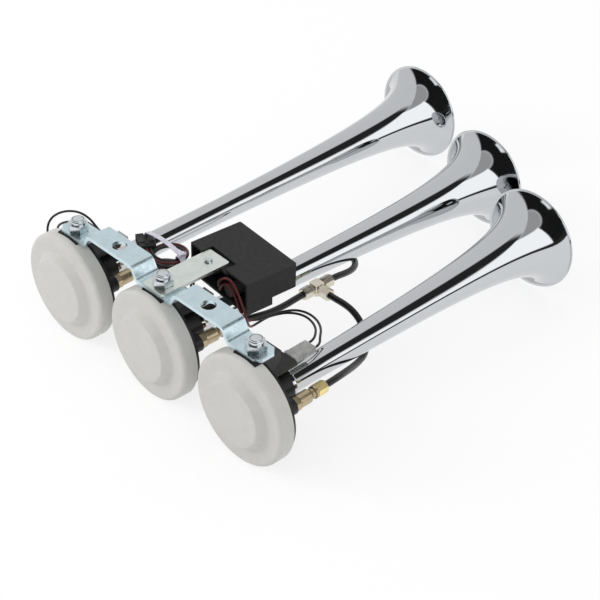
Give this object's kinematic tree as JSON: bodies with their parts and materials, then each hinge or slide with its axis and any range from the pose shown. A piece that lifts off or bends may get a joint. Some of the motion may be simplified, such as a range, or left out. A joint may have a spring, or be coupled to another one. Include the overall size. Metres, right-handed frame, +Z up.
{
  "type": "car air horn",
  "caption": "Straight trumpet air horns side by side under a bent mounting strip, with pale driver caps, hoses to a shared air fitting, and a control box on a flat plate.",
  "frame": {"origin": "middle of the line between the two mounting holes, on the strip's raised top faces", "axes": "+X along the strip towards the shortest horn, +Y along the trumpets towards their open ends, +Z up out of the strip"},
  "size_m": [0.2762, 0.3716, 0.0939],
  "materials": {
    "strip_zinc": "zinc plated, satin",
    "stud_zinc": "zinc plated, bright",
    "cap_plastic": "pale grey, fine satin",
    "diaphragm_steel": "plain spring steel",
    "housing_plastic": "black, satin",
    "trumpet_chrome": "polished chrome plate",
    "blade_brass": "plain",
    "boot_plastic": "grey, satin",
    "union_brass": "machined, slightly dull",
    "nut_brass": "bright yellow plated",
    "tee_brass": "pale plated",
    "plate_zinc": "zinc plated, satin",
    "case_plastic": "black, satin",
    "board_laminate": "dark green laminate",
    "can_grey": "dark grey sleeve",
    "hose_rubber": "black, smooth",
    "wire_black": "black insulation",
    "lead_red": "dark red insulation",
    "plug_plastic": "black",
    "tie_plastic": "milky nylon"
  },
  "bodies": {
    "root": {"mounting_strip": "strip_zinc", "left_cap": "cap_plastic", "left_diaphragm": "diaphragm_steel", "left_housing": "housing_plastic", "left_ledge": "housing_plastic", "left_pipe": "trumpet_chrome", "left_bell": "trumpet_chrome", "left_stud": "stud_zinc", "left_nut": "stud_zinc", "left_blades": "blade_brass", "left_boot": "boot_plastic", "left_union": "union_brass", "left_union_nut": "nut_brass", "middle_cap": "cap_plastic", "middle_diaphragm": "diaphragm_steel", "middle_housing": "housing_plastic", "middle_ledge": "housing_plastic", "middle_pipe": "trumpet_chrome", "middle_bell": "trumpet_chrome", "middle_stud": "stud_zinc", "middle_nut": "stud_zinc", "middle_blades": "blade_brass", "middle_boot": "boot_plastic", "middle_union": "union_brass", "middle_union_nut": "nut_brass", "right_cap": "cap_plastic", "right_diaphragm": "diaphragm_steel", "right_housing": "housing_plastic", "right_ledge": "housing_plastic", "right_pipe": "trumpet_chrome", "right_bell": "trumpet_chrome", "right_stud": "stud_zinc", "right_nut": "stud_zinc", "right_blades": "blade_brass", "right_boot": "boot_plastic", "right_union": "union_brass", "right_union_nut": "nut_brass", "tee_body": "tee_brass", "tee_nut_front": "tee_brass", "tee_nut_back": "tee_brass", "tee_nut_side": "tee_brass", "controller_plate": "plate_zinc", "controller_case": "case_plastic", "controller_board": "board_laminate", "controller_capacitor": "can_grey", "plate_screw": "stud_zinc", "middle_hose": "hose_rubber", "right_hose": "hose_rubber", "left_hose": "hose_rubber", "right_wire_a": "wire_black", "right_wire_b": "wire_black", "left_wire_a": "wire_black", "left_wire_b": "wire_black", "middle_wire_a": "wire_black", "middle_wire_b": "wire_black", "lead_red": "lead_red", "lead_black": "wire_black", "lead_plug": "plug_plastic", "cable_tie": "tie_plastic"}
  },
  "joints": []
}
